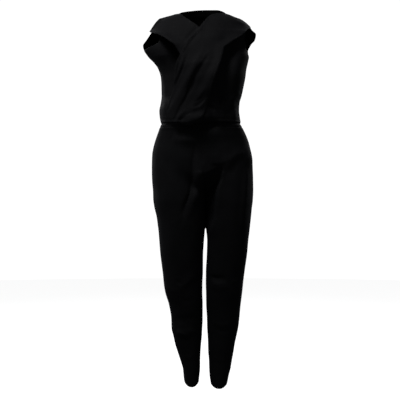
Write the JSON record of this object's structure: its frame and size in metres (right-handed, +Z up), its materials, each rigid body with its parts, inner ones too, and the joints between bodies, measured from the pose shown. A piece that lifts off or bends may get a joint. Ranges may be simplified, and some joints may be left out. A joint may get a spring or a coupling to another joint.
{
  "type": "jumpsuit",
  "caption": "Sleeveless black jumpsuit with a crossover bodice of wide shoulder bands, bloused over a narrow waist casing, and long tapered trousers.",
  "frame": {"origin": "midway between the wearer's shoulders, at the height of the shoulder seams", "axes": "+Z up; the front of the garment faces -Y; +X is the wearer's left side"},
  "size_m": [0.4168, 0.2691, 1.4044],
  "materials": {
    "crepe": "matt black crepe with a fine pebbled grain"
  },
  "bodies": {
    "root": {"bodice_front_right": "crepe", "bodice_front_left": "crepe", "bodice_back_right": "crepe", "bodice_back_left": "crepe", "wrap_under": "crepe", "wrap_over": "crepe", "waist_casing": "crepe", "trouser_front_right": "crepe", "trouser_front_left": "crepe", "trouser_back_right": "crepe", "trouser_back_left": "crepe"}
  },
  "joints": []
}
